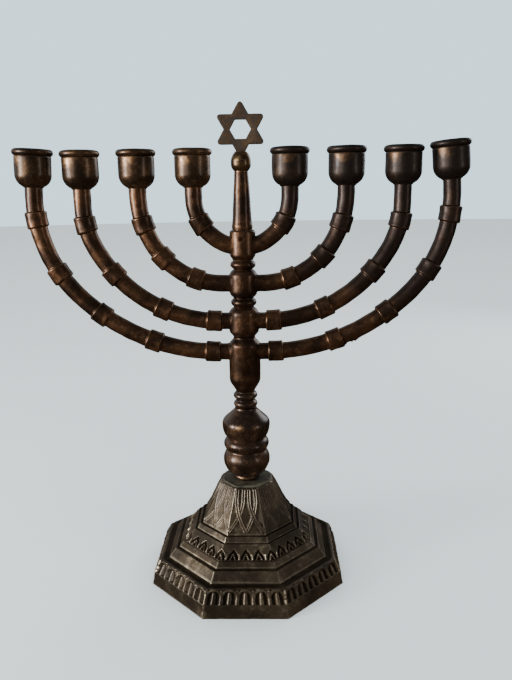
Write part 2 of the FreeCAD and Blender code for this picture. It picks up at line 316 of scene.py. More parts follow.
class Finish(Nodes):
    """The nodes of one material."""

    def __init__(self, name):
        self.material = bpy.data.materials.new(name)
        self.material.use_nodes = True
        super().__init__(self.material.node_tree)
        self.shader = self.tree.nodes["Principled BSDF"]
        self.place = self.node("ShaderNodeTexCoord").outputs["Object"]

    def cloud(self, size, detail, stretch=None):
        """Noise from 0 to 1 with features about this many metres across."""
        where = self.place
        if stretch:
            where = self.node("ShaderNodeMapping", Vector=self.place, Scale=stretch).outputs[0]
        made = self.node("ShaderNodeTexNoise", Vector=where, Scale=1 / size, Detail=detail,
                         Roughness=NOISE_ROUGHNESS)
        return self.value(made, "Fac")

    def stepped(self, value, low, high):
        """0 below low, 1 above high, smooth between."""
        made = self.node("ShaderNodeMapRange", {"interpolation_type": "SMOOTHSTEP"},
                         Value=value, From_Min=low, From_Max=high)
        return self.value(made, "Result")

    def right_and_up(self):
        """How far to the right of the stem, and how high, in metres."""
        made = self.node("ShaderNodeSeparateXYZ", Vector=self.place)
        return self.value(made, "X"), self.value(made, "Z")

    # The attribute holds worn edges, dark hollows, and painted highlights and shade given by
    # place.
    def wear_and_shading(self):
        made = self.node("ShaderNodeAttribute", {"attribute_name": "wear_and_shading"})
        return self.value(made, "Fac")

    def set(self, name, item):
        self.feed(self.shader.inputs[name], item)

    def bumped(self, *layers):
        """Bump from (height value, strength, depth in metres) layers, one on another."""
        normal = None
        for height, strength, depth in layers:
            made = self.node("ShaderNodeBump", Height=height, Strength=strength, Distance=depth)
            if normal:
                self.tree.links.new(normal, made.inputs["Normal"])
            normal = made.outputs[0]
        self.set("Normal", normal)


# The brown patina. Sizes are metres.
MOTTLE_SIZE, GRAIN_SIZE, PIT_SIZE = 0.0024, 0.0006, 0.0011
PIT_DEPTH, GRAIN_DEPTH, MOTTLE_DEPTH = 0.00006, 0.00005, 0.0002
WEAR_RANGE = 0.45
BARE_METAL = 0.95
# Shares of the dark tone in hollows: dirt, with painted shade on top of it.
DIRT_AND_SHADE = (0.34, 0.28, 0.2)
# The right side's duller, darker and cooler tone starts higher up near the stem than further out.
DULLING_FROM_HEIGHT = 0.165
DULLING_SHARES = (0.78, 0.66, 0.62)


def duller_upper_right(f, slow):
    """1 towards the upper right and 0 elsewhere, with an uneven border."""
    right, up = f.right_and_up()
    upper_right = right * 0.8 + (up - DULLING_FROM_HEIGHT) * 1.6 + (slow - 0.5) * 0.03
    return f.stepped(upper_right, 0.012, 0.075) * f.stepped(right, -0.005, 0.03)


def patinated(name, dark, brown, bright, rough, wear_from=0.12, blotch=0.012,
              glow=0.35, coat=0.6, metal=0.9, dulling=0.0, dirt_and_shade=0.78):
    """Brown patina over bronze: cloudy in tone, dark in recesses with dirt and painted shade,
    worn to metal where held, with painted highlights in places, duller towards the upper right,
    with fine casting pits."""
    f = Finish(name)
    slow = f.cloud(blotch, 4.0)
    patches = f.cloud(blotch / 3, 3.0)
    mottle = f.cloud(MOTTLE_SIZE, 2.0)
    grain = f.cloud(GRAIN_SIZE, 2.0)
    pits = f.cloud(PIT_SIZE, 1.0)
    wear_and_shading = f.wear_and_shading()
    # Bright metal where worn, and painted highlights where the values given by place put them.
    worn_and_highlit = f.stepped(wear_and_shading + (patches - 0.5) * 0.5, wear_from, wear_from + WEAR_RANGE)
    # Dark in hollows and on the ledges: dirt and patina there, made deeper as painted shade.
    recess = f.stepped(wear_and_shading * -1.0 + (patches - 0.5) * 0.2, 0.08, 0.45)
    dulled = duller_upper_right(f, slow) * dulling if dulling else 0.0
    warm = f.stepped(slow + (grain - 0.5) * 0.15 - dulled * 0.2, 0.36, 0.66)
    colour = f.mix(warm, (*dark, 1), (*brown, 1))
    shine = f.stepped(patches * 0.5 + mottle * 0.5 + (grain - 0.5) * 0.3, 0.50, 0.68)
    colour = f.mix(shine * glow * warm * (1.0 - dulled * 0.7), colour, (*bright, 1))
    dull = tuple(dark[0] * share for share in DULLING_SHARES)
    colour = f.mix(dulled * 0.55, colour, (*dull, 1))
    # Worn metal and painted highlights, mixed towards the bright colour.
    colour = f.mix(worn_and_highlit * 0.6 * (1.0 - dulled * 0.5), colour, (*bright, 1))
    # The colour in hollows and on the ledges: dark patina, deepened to painted shade.
    dirt_and_shade_colour = tuple(part * share for part, share in zip(dark, DIRT_AND_SHADE))
    colour = f.mix(recess * dirt_and_shade, colour, (*dirt_and_shade_colour, 1))
    f.set("Base Color", colour)
    f.set("Metallic", metal + (recess + worn_and_highlit).clamped() * (BARE_METAL - metal))
    f.set("Specular IOR Level", 0.3)
    f.set("Roughness", (rough + (mottle - 0.5) * 0.3 + (grain - 0.5) * 0.1 + recess * 0.4
                        + dulled * 0.08 - worn_and_highlit * 0.06).clamped())
    f.set("Coat Weight", (coat - recess * 0.4 - dulled * 0.15 - (patches - 0.4) * 0.5).clamped())
    f.set("Coat Roughness", 0.22)
    f.bumped((f.stepped(pits, 0.20, 0.36), 0.2, PIT_DEPTH), (grain, 0.15, GRAIN_DEPTH),
             (mottle, 0.35, MOTTLE_DEPTH))
    return f.material


def plain_steel(name):
    """Steel with a fine drawn grain and rust in patches."""
    f = Finish(name)
    grain = f.cloud(0.0009, 3.0, stretch=(1, 1, 6))
    rust = f.stepped(f.cloud(0.006, 5.0), 0.5, 0.7)
    f.set("Base Color", f.mix(rust, (0.30, 0.29, 0.28, 1), (0.12, 0.055, 0.03, 1)))
    f.set("Metallic", 1.0 - rust * 0.7)
    f.set("Roughness", 0.3 + grain * 0.2 + rust * 0.3)
    f.bumped((grain, 0.3, 0.0001))
    return f.material


# Each finish: the patina's dark and brown tones and the bright metal where it is worn, which also
# colours the painted highlights.
KNOP_BRONZE = patinated("knop bronze", (0.034, 0.019, 0.012), (0.082, 0.042, 0.023),
                        (0.50, 0.29, 0.14), rough=0.37, metal=0.8)
STEM_BRONZE = patinated("stem bronze", (0.042, 0.022, 0.013), (0.125, 0.060, 0.029),
                        (0.50, 0.28, 0.145), rough=0.38, coat=0.4)
ARM_BRONZE = patinated("arm bronze", (0.054, 0.029, 0.017), (0.160, 0.076, 0.036),
                       (0.46, 0.25, 0.125), rough=0.38, coat=0.35, dulling=0.85)
CUP_BRONZE = patinated("cup bronze", (0.054, 0.033, 0.020), (0.138, 0.078, 0.040),
                       (0.56, 0.31, 0.15), rough=0.39, coat=0.35, dulling=1.0)
STAR_BRONZE = patinated("star bronze", (0.038, 0.026, 0.019), (0.062, 0.041, 0.028),
                        (0.24, 0.13, 0.05), rough=0.6, glow=0.4, coat=0.15, metal=0.4)
BALL_BRASS = patinated("ball brass", (0.062, 0.038, 0.021), (0.170, 0.100, 0.045),
                       (0.70, 0.46, 0.20), rough=0.34, coat=0.3)
FOOT_BRONZE = patinated("foot bronze", (0.043, 0.031, 0.019), (0.098, 0.069, 0.041),
                        (0.48, 0.39, 0.27), rough=0.42, wear_from=0.14, blotch=0.020,
                        glow=0.25, coat=0.3, metal=0.75, dirt_and_shade=0.6)
PLATE_BRONZE = patinated("plate bronze", (0.045, 0.039, 0.026), (0.095, 0.083, 0.055),
                         (0.28, 0.25, 0.17), rough=0.62, wear_from=0.30, blotch=0.008,
                         glow=0.2, coat=0.05, metal=0.4)
STEEL = plain_steel("plain steel")


# ---- stem --------------------------------------------------------------------------------------
# Passes that round over each piece's outline, where it isn't the usual number.
USUAL_SOFTNESS = 4
SOFTNESS = {"foot_collar": 2, "spire": 3, "pear_bulb": 6, "lower_knop": 6}
# The softened outlines come out this much too thin.
PATINA_SWELL = 0.2
# Room left between neighbouring pieces, so that the pairs of arms turn freely.
JOINT_GAP = 0.02
KNOPS = ("foot_collar", "lower_knop", "knop_ring", "pear_bulb", "neck_rings")
# Marks and painted highlights on the front of the stem: across, up from the piece's foot, half
# width and height, how bright or dark (worn bright, painted highlight, dirty dark) and depth, in
# millimetres.
MARKS_AND_HIGHLIGHTS = {
    # Painted highlights: the entries without depth on the hubs, the spire, the lower knop and the
    # foot collar, and the second on the pear bulb, brighten the left front where the light falls.
    # The pits, the bulb's first patch and the ball's patch are real marks.
    "inner_hub": [(-0.5, 11.0, 1.9, 1.5, -0.45, 0.22), (-1.2, 6.0, 2.0, 4.0, 0.16, 0.0)],
    "second_hub": [(-0.6, 6.9, 0.5, 0.4, -0.4, 0.12), (-1.6, 9.0, 1.6, 3.0, 0.14, 0.0)],
    "third_hub": [(-2.0, 9.5, 1.6, 3.5, 0.14, 0.0)],
    "outer_hub": [(1.2, 20.0, 0.6, 0.5, -0.5, 0.15), (-1.8, 24.0, 1.8, 3.5, 0.16, 0.0)],
    "pear_bulb": [(-3.0, 9.1, 3.0, 2.2, 0.62, 0.0), (-6.5, 6.6, 3.4, 2.8, 0.25, 0.0)],
    "finial_ball": [(-0.9, 6.0, 1.7, 1.8, 0.5, 0.0)],
    "spire": [(-1.4, 12.0, 1.2, 9.0, 0.14, 0.0)],
    "lower_knop": [(-5.5, 7.5, 3.5, 3.0, 0.12, 0.0)],
    "foot_collar": [(-1.8, 1.6, 2.0, 0.7, 0.7, 0.0)],
}


def turning(node):
    """One turned stem piece, bored for the tie rod."""
    first, steps = TURNINGS[node]
    rim = outline((first, 0.0), steps, spacing=0.3)
    rim = softened(rim, SOFTNESS.get(node, USUAL_SOFTNESS))
    rim = [(r + PATINA_SWELL, h) for r, h in rim]
    points = [(ROD_BORE_R, 0.0)] + rim + [(ROD_BORE_R, rim[-1][1])]
    bm = bmesh.new()
    spun(bm, points, base=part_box(node)[0].z)
    return bm


def mark(bm, base, across, up, half_width, half_height, wear_and_shading, depth):
    """Rubs or pits a ragged patch on the front of a turned piece, or paints a highlight there."""
    layer = placed_wear_and_shading_layer(bm)
    for vert in bm.verts:
        ragged = 1 + 1.1 * noise.noise(vert.co / 0.0009)
        away = ((vert.co.x / MM - across) / half_width) ** 2
        away += (((vert.co.z - base) / MM - up) / half_height) ** 2
        if vert.co.y < 0 and away * ragged < 1:
            inside = blend(1 - away * ragged, 0.0, 0.9)
            # A positive amount is worn metal for some patches and a painted highlight for others.
            vert[layer] += wear_and_shading * inside
            vert.co.y += depth * inside * ragged * MM


def stem():
    for seed, node in enumerate(TURNINGS):
        material, slot = STEM_BRONZE, "stem_bronze"
        if node == "finial_ball":
            material, slot = BALL_BRASS, "ball_brass"
        elif node in KNOPS:
            material = KNOP_BRONZE
        bm = turning(node)
        uneven(bm, 0.00012, 0.006, seed)
        low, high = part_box(node)
        for patch in MARKS_AND_HIGHLIGHTS.get(node, []):
            mark(bm, low.z, *patch)
        for vert in bm.verts:
            vert.co.z = limited(vert.co.z, low.z + JOINT_GAP * MM, high.z - JOINT_GAP * MM)
        finished(bm, node + "_turned", body_of_node(node), material, [node])


# ---- top plate ---------------------------------------------------------------------------------
PLATE_FLATS_R = 13.5
PLATE_ROUND_R = 14.1
# The raised rim and the dished top, as (inset from the rounded edge, height).
PLATE_LIP, PLATE_RIM, PLATE_STEP, PLATE_DISH = (0.5, 1.05), (1.3, 1.0), (2.2, 0.8), 0.75
PLATE_EDGE_FROM = 0.8


def top_plate():
    """Rough eight-sided plate with rounded corners, a raised rim and a dished top."""
    base = FOOT_TIERS[-1][1] * MM
    edge = PLATE_ROUND_R
    profile = outline((edge - 0.1, 0.0), [
        (edge, 0.25), (edge, 0.8, edge - PLATE_LIP[0], PLATE_LIP[1]),
        (edge - PLATE_RIM[0], PLATE_RIM[1]), (edge - PLATE_STEP[0], PLATE_STEP[1]),
        (ROD_BORE_R, PLATE_DISH)], spacing=0.25)
    bm = bmesh.new()
    spun(bm, [(ROD_BORE_R, 0.0)] + profile, steps=128, base=base)
    for vert in bm.verts:
        around = math.atan2(vert.co.y, vert.co.x)
        radius = math.hypot(vert.co.x, vert.co.y)
        off_flat = math.remainder(around, math.tau / FACETS)
        reach = min(1.0, PLATE_FLATS_R / math.cos(off_flat) / edge)
        reach += 0.012 * noise.noise(Vector((math.cos(around), math.sin(around), 0.3)) * 2.4)
        worn = max(0.0, radius / (edge * MM) - PLATE_EDGE_FROM) / (1 - PLATE_EDGE_FROM)
        vert.co.x *= 1 + (reach - 1) * worn
        vert.co.y *= 1 + (reach - 1) * worn
        if vert.co.z > base + 0.5 * MM:
            vert.co.z += 0.00028 * noise.noise(vert.co / 0.005) * min(worn + 0.3, 1)
    finished(bm, "base_plate_disc", "stand", PLATE_BRONZE, ["base_top_plate"])


# ---- star --------------------------------------------------------------------------------------
# The tips' distance from the middle before they are rounded, and what rounding takes off.
STAR_TIP, STAR_TIP_LOSS = 14.8, 1.41
STAR_HOLE = 5.4
STAR_TIP_ROUND, STAR_RIM_ROUND = 2.8, 0.35
# A rim's faces meet at more than this, in radians.
RIM_ANGLE = 1.2


def star():
    """Flat six-pointed star with a six-sided hole, from one sixth of it."""
    low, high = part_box("star")
    notch = STAR_TIP / math.sqrt(3)
    centre_z = high.z - (STAR_TIP - STAR_TIP_LOSS) * MM
    bm = bmesh.new()
    places = [(notch, 0), (STAR_TIP, 30), (notch, 60), (STAR_HOLE, 60), (STAR_HOLE, 0)]
    corners = []
    for radius, degrees in places:
        angle = math.radians(degrees)
        corners.append(bm.verts.new((radius * MM * math.cos(angle), low.y,
                                     centre_z + radius * MM * math.sin(angle))))
    bm.faces.new(corners)
    bmesh.ops.spin(bm, geom=bm.faces[:] + bm.edges[:] + bm.verts[:], cent=(0, 0, centre_z),
                   axis=(0, 1, 0), angle=math.tau * 5 / 6, steps=5, use_duplicate=True)
    bmesh.ops.remove_doubles(bm, verts=bm.verts, dist=WELD)
    raised = bmesh.ops.extrude_face_region(bm, geom=bm.faces[:])["geom"]
    bmesh.ops.translate(bm, vec=(0, high.y - low.y, 0), verts=new_verts(raised))
    tips = []
    for edge in bm.edges:
        a, b = (v.co for v in edge.verts)
        through = math.hypot(a.x - b.x, a.z - b.z) < WELD
        if through and math.hypot(a.x, a.z - centre_z) > (STAR_TIP - 1) * MM:
            tips.append(edge)
    bmesh.ops.bevel(bm, geom=tips, offset=STAR_TIP_ROUND * MM, segments=6, profile=0.5,
                    affect="EDGES", material=-1)
    bmesh.ops.recalc_face_normals(bm, faces=bm.faces)
    rims = [edge for edge in bm.edges if edge.calc_face_angle(0) > RIM_ANGLE
            and abs(edge.verts[0].co.y - edge.verts[1].co.y) < WELD]
    bmesh.ops.bevel(bm, geom=rims, offset=STAR_RIM_ROUND * MM, segments=3, profile=0.5,
                    affect="EDGES", material=-1)
    finished(bm, "star_plate", "stand", STAR_BRONZE, ["star"], sharp=35)


# ---- arms --------------------------------------------------------------------------------------
RING_STEPS = 40
RING_GAP = 0.6
ROOT_X = 4.0
ROOT_FLARE, ROOT_REACH, ROOT_GRIME = 0.35, 1.0, -0.35
CUP_OVERLAP = 0.5
CASTING_DEPTH = 0.00016
# Casting burrs left under one arm, between these distances from the stem.
BURRED_ARM = ("outer", "right")
BURRS_FROM, BURRS_TO = 53.0, 63.0


def on_bend(centre, radius, angle):
    return centre + Vector((radius * math.sin(angle), 0, -radius * math.cos(angle)))


def bends(pair):
    """Centres of the arm's lower and upper bends, and the lower one's sweep."""
    shape = ARMS[pair]
    sweep = math.radians(shape.sweep)
    first = Vector((shape.run, 0, shape.level + shape.lower)) * MM
    inset = (shape.lower - shape.upper) * MM
    second = first + Vector((inset * math.sin(sweep), 0, -inset * math.cos(sweep)))
    return first, second, sweep


def arm_frame(pair, distance):
    """Place on the arm's centre line, and its upward angle, by distance from the axis."""
    shape = ARMS[pair]
    first, second, sweep = bends(pair)
    if distance <= shape.run:
        return Vector((distance, 0, shape.level)) * MM, 0.0
    angle = (distance - shape.run) / shape.lower
    if angle <= sweep:
        return on_bend(first, shape.lower * MM, angle), angle
    angle = sweep + (distance - shape.run - shape.lower * sweep) / shape.upper
    return on_bend(second, shape.upper * MM, angle), angle


def cup_foot(pair, side_name):
    """End of the arm's upper bend, the cup's underside and the way the cup points. Both
    sides are made on the right, and the left one is then mirrored."""
    angle = QUARTER + math.radians(ARMS[pair].lean[SIDES[side_name]])
    top = on_bend(bends(pair)[1], ARMS[pair].upper * MM, angle)
    along = Vector((math.cos(angle), 0, math.sin(angle)))
    name = pair + "_" + side_name + "_candle_socket"
    mounts = frame["record"]["mounts"]
    x, _, z = next(mount["pos_m"] for mount in mounts if mount["name"] == name)
    return top, Vector((abs(x), 0, z)) - along * (SOCKET_MIDDLE * MM), along


def on_its_side(bm, side_name):
    if SIDES[side_name] < 0:
        bmesh.ops.scale(bm, vec=(-1, 1, 1), verts=bm.verts)


def swept(bm, ring, centre, radius, turn):
    """Turns the arm's end face upwards round a bend's centre, in short steps."""
    made = bmesh.ops.spin(bm, geom=ring, cent=centre, axis=(0, -1, 0), angle=turn,
                          steps=round(radius * turn / RING_GAP))
    return made["geom_last"]


def drawn(bm, ring, vector):
    """Extrudes the arm's end face straight on, in short steps."""
    steps = max(1, round(vector.length / (RING_GAP * MM)))
    for _ in range(steps):
        made = bmesh.ops.extrude_face_region(bm, geom=ring)["geom"]
        bmesh.ops.translate(bm, vec=vector / steps, verts=new_verts(made))
        ring = [item for item in made if isinstance(item, bmesh.types.BMFace)]
    return ring


def arm(pair, side_name, seed):
    shape = ARMS[pair]
    first, second, sweep = bends(pair)
    top, end, along = cup_foot(pair, side_name)
    bm = bmesh.new()
    start = Vector((min(ROOT_X, shape.run), 0, shape.level)) * MM
    place = Matrix.Translation(start) @ Matrix.Rotation(QUARTER, 4, "Y")
    bmesh.ops.create_circle(bm, cap_ends=True, segments=RING_STEPS, radius=ARM_R * MM,
                            matrix=place)
    ring = bm.faces[:]
    if shape.run > ROOT_X:
        ring = drawn(bm, ring, Vector(((shape.run - ROOT_X) * MM, 0, 0)))
    ring = swept(bm, ring, first, shape.lower, sweep)
    rest = QUARTER + math.radians(shape.lean[SIDES[side_name]]) - sweep
    ring = swept(bm, ring, second, shape.upper, rest)
    drawn(bm, ring, (end - top) + along * (CUP_OVERLAP * MM))
    bmesh.ops.recalc_face_normals(bm, faces=bm.faces)
    flare_root(bm, pair)
    uneven(bm, CASTING_DEPTH, 0.005, seed)
    if (pair, side_name) == BURRED_ARM:
        leave_burrs(bm)
    on_its_side(bm, side_name)
    name = pair + "_" + side_name + "_arm"
    finished(bm, name + "_bar", pair + "_pair", ARM_BRONZE, [name])


def leave_burrs(bm):
    """Small lumps on the underside of the arm."""
    bm.normal_update()
    for vert in bm.verts:
        inside = 1 - abs(2 * (vert.co.x / MM - BURRS_FROM) / (BURRS_TO - BURRS_FROM) - 1)
        if inside > 0 and vert.normal.z < -0.4:
            lump = max(0.0, noise.noise(vert.co / 0.0018) - 0.05)
            vert.co += vert.normal * (1.6 * lump * min(1.0, 3 * inside) * MM)


def flare_root(bm, pair):
    """Small dirty fillet where the arm leaves its hub."""
    hub_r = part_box(pair + "_hub")[1].x
    level = ARMS[pair].level * MM
    layer = placed_wear_and_shading_layer(bm)
    for vert in bm.verts:
        out = math.hypot(vert.co.x, vert.co.y) - hub_r
        rise = (1 - limited(out / (ROOT_REACH * MM), 0, 1)) ** 2
        if rise > 0 and vert.co.z < level + 3 * ARM_R * MM:
            away = Vector((0, vert.co.y, vert.co.z - level))
            vert.co += away.normalized() * (ROOT_FLARE * MM * rise)
            vert[layer] = ROOT_GRIME * rise


# ---- sleeves -----------------------------------------------------------------------------------
def sleeve_outline():
    """Closed ring section in (radius, height): coved ends, rounded edges and a slightly
    hollow middle."""
    half = SLEEVE_LENGTH / 2
    bore = ARM_R - 0.15
    edge, cove = 0.75, 0.5
    lip = ARM_R + cove - 0.05
    bow = edge * 0.3
    return outline((bore, -half - cove), [
        (ARM_R + 0.02, -half - cove),
        (ARM_R + cove * 0.25, -half - cove * 0.25, lip, -half),
        (SLEEVE_R - edge * 0.9, -half),
        (SLEEVE_R - bow, -half + bow, SLEEVE_R, -half + edge),
        (SLEEVE_R - 0.10, 0, SLEEVE_R, half - edge),
        (SLEEVE_R - bow, half - bow, SLEEVE_R - edge * 0.9, half),
        (lip, half),
        (ARM_R + cove * 0.25, half + cove * 0.25, ARM_R + 0.02, half + cove),
        (bore, half + cove)], spacing=0.22)


def sleeves(pair, side_name, seed):
    bm = bmesh.new()
    for distance in ARMS[pair].sleeves:
        placed = set(bm.verts)
        spun(bm, sleeve_outline(), steps=48)
        for vert in bm.verts:
            if vert not in placed:
                place, angle = arm_frame(pair, distance + vert.co.z / MM)
                outward = Vector((-math.sin(angle), 0, math.cos(angle)))
                vert.co = place + outward * vert.co.x + Vector((0, vert.co.y, 0))
    bmesh.ops.recalc_face_normals(bm, faces=bm.faces)
    uneven(bm, CASTING_DEPTH, 0.0035, seed)
    on_its_side(bm, side_name)
    name = pair + "_" + side_name + "_sleeves"
    finished(bm, name + "_rings", pair + "_pair", ARM_BRONZE, [name])


# ---- cups --------------------------------------------------------------------------------------
SOCKET_FLOOR = 4.8
SOCKET_MOUTH = 17.4
SOCKET_MIDDLE = (SOCKET_FLOOR + SOCKET_MOUTH) / 2
SOCKET_R = 6.75


def cup_outline():
    """Closed half-section of a cup: foot, bowl, neck line, round lip and candle socket."""
    return outline((0.0, 0.0), [
        (4.9, 0.0),
        (5.1, 0.25, 5.3, 0.6),
        (7.85, 2.6, 9.3, 6.9),
        (9.32, 15.6),
        (9.2, 15.85, 9.12, 16.1),
        (10.25, 17.85, 8.6, 19.5),
        (7.2, 18.8, SOCKET_R, SOCKET_MOUTH),
        (SOCKET_R, SOCKET_FLOOR + 0.8),
        (SOCKET_R - 0.25, SOCKET_FLOOR + 0.25, SOCKET_R - 0.8, SOCKET_FLOOR),
        (0.0, SOCKET_FLOOR)], spacing=0.35)


def cup(pair, side_name, seed):
    foot, along = cup_foot(pair, side_name)[1:]
    bm = bmesh.new()
    spun(bm, cup_outline(), steps=80)
    uneven(bm, 0.00014, 0.007, seed)
    # The patch faces the left front on every cup, where the light falls: partly a painted
    # highlight.
    towards = 0.35 * math.sin(seed * 2.4) - SIDES[side_name] * 0.45

    def worn_and_highlit(place):
        """A warm patch under the lip groove at the left front: worn metal where the cup is held,
        and a painted highlight where the light falls.
        """
        off = math.remainder(math.atan2(place.x, -place.y) - towards, math.tau)
        under_lip = blend(place.z / MM, 8.5, 14.0) * blend(16.0 - place.z / MM, 0.0, 0.6)
        ragged = 0.75 + 0.6 * noise.noise(place / 0.0016)
        return 0.6 * under_lip * ridge(off, 0.75) * ragged

    add_wear_and_shading(bm, worn_and_highlit)
    lean = Matrix.Rotation(math.atan2(along.x, along.z), 4, "Y")
    bmesh.ops.transform(bm, matrix=Matrix.Translation(foot) @ lean, verts=bm.verts)
    on_its_side(bm, side_name)
    name = pair + "_" + side_name + "_cup"
    finished(bm, name + "_bowl", pair + "_pair", CUP_BRONZE, [name])


# ---- foot --------------------------------------------------------------------------------------
# Tiers from the ground up: across flats, height and grid rows up to the next tier.
FOOT_TIERS = [
    (106.0, 0.0, 7), (103.7, 7.0, 28), (96.6, 13.9, 3), (87.0, 14.3, 4), (80.2, 18.9, 2),
    (75.6, 19.5, 3), (71.2, 21.8, 1), (69.8, 22.1, 29), (59.0, 28.3, 1), (56.0, 28.6, 2),
    (53.2, 31.0, 1), (50.0, 31.4, 58), (28.3, 53.4, 0),
]
FOOT_CAVITY = [(98.0, 0.0), (88.0, 10.5), (42.0, 27.5), (22.0, 49.0)]
FACETS = 8
FACET_COLUMNS = 66
HALF_FACET = math.tan(math.pi / FACETS)
# Distance of the first row or column of the grid from an edge.
GUARD = 0.28
# Tiers by their place in the table above.
GROUND_STRIP, TONGUE_BAND, LEAF_BAND, STRAP_FACET = 0, 1, 7, 11
PLAIN_TIERS = (3, 5, 9)
LEDGES = (2, 4, 6, 8, 10)
GROOVE = 0.55
# How bright the raised ornament is rubbed, for each millimetre of its height.
RUB = {TONGUE_BAND: 0.45, LEAF_BAND: 0.80, STRAP_FACET: 0.50}
# How far each facet's straps and tongues are worn flat, from the front one round.
WORN_FLAT = (0.0, 0.45, 0.25, 0.1, 0.2, 0.1, 0.25, 0.6)
# Ornaments on a facet, and the width that each is drawn at.
TONGUES, TONGUE_WIDTH = 5, 8.3
LEAVES, LEAF_WIDTH = 4, 6.6


def ridge(distance, width):
    """Rounded ridge: 1 on the line, 0 from width away."""
    t = min(abs(distance) / width, 1.0)
    return (1 - t * t) ** 2


def blend(x, low, high):
    """0 below low, 1 above high, smooth between."""
    t = limited((x - low) / (high - low), 0.0, 1.0)
    return t * t * (3 - 2 * t)


def tongue_relief(x, y):
    """Arcade of upright hollow tongues, each with a rib down the middle. x across and y
    up, in millimetres, within one tongue."""
    leg, spring = 4.1, 3.2
    reach = abs(x) if y < spring else math.hypot(x, y - spring)
    hollow = 0.95 * blend(leg - 0.4 - reach, 0.0, 0.9) * blend(y, 0.0, 0.7)
    rib = 1.10 * ridge(x, 1.6 + 0.1 * (3 - y)) * blend(7.3 - y, 0.0, 1.6)
    leg_wide = 1.25 - 0.45 * blend(y, 2.0, 5.5)
    rim = 0.30 * ridge(reach - leg, leg_wide) * blend(y, 0.0, 0.6)
    outside = blend(reach - leg, 0.3, 0.8) * blend(y, 3.8, 5.0)
    dart = ridge(abs(x) - 4.15, 0.5 + 0.30 * max(y - 5.0, 0)) * blend(7.6 - y, 0.0, 0.5)
    return rim - hollow + rib * blend(y, 0.0, 0.7) + outside * (0.9 * dart - 0.5)


def leaf_relief(x, y):
    """Row of pointed leaves, sunk, each with a pointed rib inside, and drops between.
    Millimetres."""
    tip, half = 6.0, 3.15
    edge = half * (1 - limited(y / tip, 0.0, 1.0) ** 2)
    inside = edge - abs(x)
    sunk = -0.9 * blend(inside, 0.1, 0.8) * blend(tip - y, 0.0, 0.8)
    rim = 0.16 * ridge(inside, 0.5) * blend(y, 2.5, 4.0) * blend(tip + 0.4 - y, 0.0, 0.6)
    rib = 1.15 * ridge(abs(x) - max(0.0, 3.6 - y) * 0.42, 0.8) * blend(4.1 - y, 0.0, 0.6)
    drop = 0.62 * ridge(abs(x) - 3.3, 0.95 - 0.12 * y) * blend(4.0 - y, 0.0, 1.2)
    return (sunk + rim + rib + drop) * blend(y, 0.0, 0.5)


def strap_relief(u, v, half_width):
    """Two pairs of crossing straps, each a double rib, on one tapering facet. u runs from
    -1 to 1 across and v from 0 to 1 up."""
    swing = math.sin(QUARTER * limited((v - 0.05) / 0.83, 0.0, 1.0))
    outer = 0.74 * swing
    rise = math.sin(QUARTER * limited((v - 0.03) / 0.74, 0.0, 1.0))
    inner = 0.22 + 0.76 * (1 - rise)
    apart = 0.66
    ends = blend(v, 0.03, 0.07) * blend(1.0 - v, 0.0, 0.04)

    def strap(line):
        off = abs(u - line) * half_width
        return ridge(off - apart, 0.60), 1 - blend(off, apart + 0.2, apart + 0.7)

    over = [strap(-outer), strap(inner)]
    under = [strap(outer), strap(-inner)]
    height = max(over[0][0], over[1][0])
    cover = max(over[0][1], over[1][1])
    below = max(under[0][0], under[1][0]) * (1 - cover)
    laid = max(cover, under[0][1], under[1][1])
    return (0.50 * max(height, below) - 0.25 * (1 - laid)) * ends


def within_one(x, half_width, count, width):
    """Where x falls within one of count ornaments side by side, drawn at width."""
    pitch = 2 * half_width / count
    return (x / pitch - round(x / pitch)) * width


def foot_relief(tier, u, v, half_width, slant):
    """Height of the ornament above the plain casting, in millimetres."""
    x, y = u * half_width, v * slant
    if tier == TONGUE_BAND:
        return tongue_relief(within_one(x, half_width, TONGUES, TONGUE_WIDTH), y)
    if tier == LEAF_BAND:
        return leaf_relief(within_one(x, half_width, LEAVES, LEAF_WIDTH), y)
    if tier == STRAP_FACET:
        return strap_relief(u, v, half_width)
    if tier in LEDGES:
        return -GROOVE * blend(v, 0.1, 0.6) * min(slant / 1.5, 1.0)
    return 0.0


def foot_rows():
    """Rows up the facet: (tier, share of the tier, across flats, height, slope normal,
    slant length). Every tier has a row close to each of its edges."""
    rows = []
    for tier in range(len(FOOT_TIERS) - 1):
        flats, height, count = FOOT_TIERS[tier]
        next_flats, next_height = FOOT_TIERS[tier + 1][:2]
        run, rise = (flats - next_flats) / 2, next_height - height
        slant = math.hypot(run, rise)
        guard = min(GUARD / slant, 0.3)
        inner = [guard + (1 - 2 * guard) * k / count for k in range(count + 1)]
        for share in [0.0] + inner:
            rows.append((tier, share, flats - 2 * run * share, height + rise * share,
                         (rise / slant, run / slant), slant))
    flats, height = FOOT_TIERS[-1][:2]
    rows.append((len(FOOT_TIERS) - 1, 0.0, flats, height, (0.7, 0.7), 1.0))
    return rows


def edge_wear_and_ledge_shade(tier, share, u, half_width):
    """By place: worn bright along arrises and tier edges, and dark on the ledges as painted
    shade.
    """
    arris = (1 - u) * half_width
    if tier in LEDGES:
        # Painted shade: the narrow ledges between the tiers are darkened.
        return -0.42 * blend(share, 0.02, 0.15)
    if tier == STRAP_FACET:
        return 0.35 * blend(0.03 - share, 0.0, 0.02) + 0.5 * (1 - blend(arris, 0.1, 0.6))
    if tier in PLAIN_TIERS:
        return 0.45 * (1 - blend(share, 0.05, 0.15)) + 0.6 * (1 - blend(arris, 0.1, 0.7))
    if tier == GROUND_STRIP:
        return 0.45 * (1 - blend(share, 0.01, 0.10)) + 0.4 * (1 - blend(arris, 0.1, 0.6))
    return 0.25 * blend(share, 0.93, 1.0) + 0.5 * (1 - blend(arris, 0.1, 0.7))


